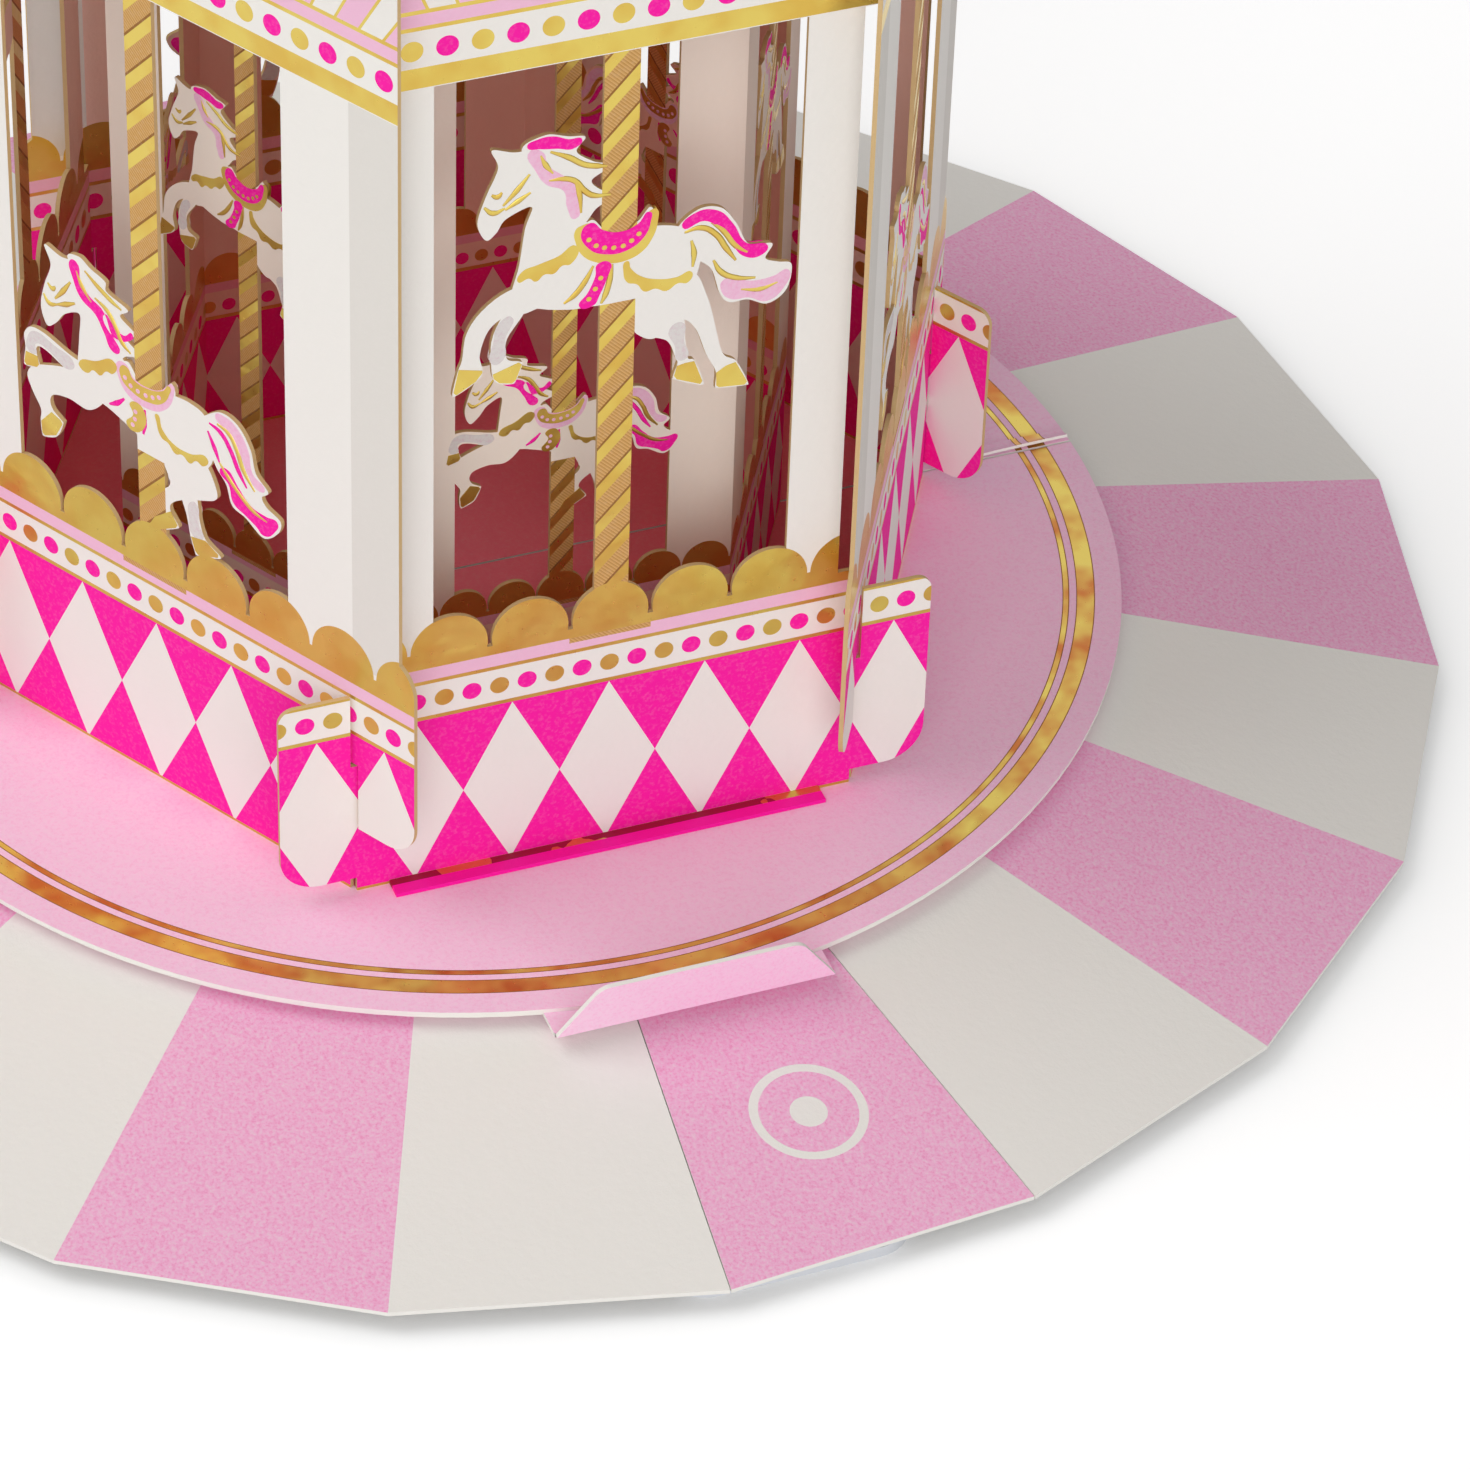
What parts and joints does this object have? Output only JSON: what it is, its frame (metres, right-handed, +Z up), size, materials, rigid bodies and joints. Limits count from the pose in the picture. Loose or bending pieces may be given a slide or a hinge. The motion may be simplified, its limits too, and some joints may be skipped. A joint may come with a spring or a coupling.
{
  "type": "carousel music box",
  "caption": "Die-cut card carousel with galloping horses on a turntable over a thin round base with a pressed start button, sound module and gear drive.",
  "frame": {"origin": "on the table under the spindle, at the base's underside", "axes": "+Z up along the spindle, -Y to the front wall, the lift tab and the tongue, +X to the right seen from the front"},
  "size_m": [0.1994, 0.1994, 0.1818],
  "materials": {
    "printed_card": "white card printed in pink with gold foil",
    "pink_card": "light pink printed card",
    "striped_card": "card printed in light pink and white sectors",
    "roof_card": "card printed in pink and white stripes",
    "gold_foil_card": "card with gold foil",
    "white_plastic": "moulded white plastic",
    "ivory_plastic": "natural nylon",
    "black_plastic": "moulded black plastic",
    "steel": "plain steel",
    "brass": "plain brass",
    "green_board": "green solder mask",
    "black_resin": "cured black resin",
    "cone_paper": "dark pulp paper",
    "magnet_steel": "plated magnet",
    "white_rubber": "soft white button",
    "red_sleeve": "red wire sleeve"
  },
  "bodies": {
    "base": {"base_tray": "white_plastic", "tray_cover": "white_plastic", "cover_screws": "steel", "skirt": "striped_card", "spindle": "steel", "hub_clip": "steel", "circuit_board": "green_board", "sound_chip": "black_resin", "speaker_frame": "black_plastic", "speaker_cone": "cone_paper", "speaker_magnet": "magnet_steel", "cell_holder": "black_plastic", "button_cells": "steel", "cell_contact": "brass", "switch_body": "black_plastic", "motor_can": "steel", "idler_pin": "steel", "lead_wires": "red_sleeve"},
    "turntable": {"hub_gear": "ivory_plastic", "platform_liner": "pink_card", "platform_front": "pink_card", "platform_back": "pink_card", "wall_1": "printed_card", "wall_2": "printed_card", "wall_3": "printed_card", "wall_4": "printed_card", "wall_5": "printed_card", "wall_6": "printed_card", "inner_wall_1": "printed_card", "inner_wall_2": "printed_card", "inner_wall_3": "printed_card", "inner_wall_4": "printed_card", "inner_wall_5": "printed_card", "inner_wall_6": "printed_card", "ceiling_card": "pink_card", "roof_panel_1": "roof_card", "roof_panel_2": "roof_card", "roof_panel_3": "roof_card", "roof_panel_4": "roof_card", "roof_panel_5": "roof_card", "roof_panel_6": "roof_card", "roof_cap": "gold_foil_card", "finial_card_front": "gold_foil_card", "finial_card_side": "gold_foil_card"},
    "lift_tab": {"lift_tab": "pink_card"},
    "press_leaf": {"press_leaf": "pink_card"},
    "press_button": {"press_button": "white_rubber"},
    "idler": {"idler_gear": "ivory_plastic"},
    "motor_rotor": {"motor_pinion": "brass"}
  },
  "joints": [
    {"name": "turntable_spin", "type": "hinge", "parent": "base", "child": "turntable", "pos_m": [0, 0, 0], "axis": [0, 0, 1], "continuous": true},
    {"name": "idler_spin", "type": "hinge", "parent": "base", "child": "idler", "pos_m": [-0.01762, 0.01478, 0], "axis": [0, 0, 1], "continuous": true},
    {"name": "motor_spin", "type": "hinge", "parent": "base", "child": "motor_rotor", "pos_m": [-0.02681, 0.0225, 0], "axis": [0, 0, 1], "continuous": true},
    {"name": "leaf_press", "type": "hinge", "parent": "base", "child": "press_leaf", "pos_m": [0.00502, -0.0638, 0.00799], "axis": [0.9969, 0.0785, 0], "range_deg": [0, 1.2], "stiffness_Nm_per_rad": 0.05, "springref_deg": -1.15},
    {"name": "button_press", "type": "slide", "parent": "base", "child": "press_button", "axis": [0, 0, -1], "range_m": [0, 0.00033514]},
    {"name": "tab_fold", "type": "hinge", "parent": "turntable", "child": "lift_tab", "pos_m": [0, -0.0692, 0.00928], "axis": [1, 0, 0], "range_deg": [-30, 80]}
  ],
  "couplings": [
    {"joint": "idler_spin", "follows": "turntable_spin", "ratio": -6.6667},
    {"joint": "motor_spin", "follows": "turntable_spin", "ratio": 33.333},
    {"joint": "button_press", "follows": "leaf_press", "m_per_rad": 0.016}
  ]
}
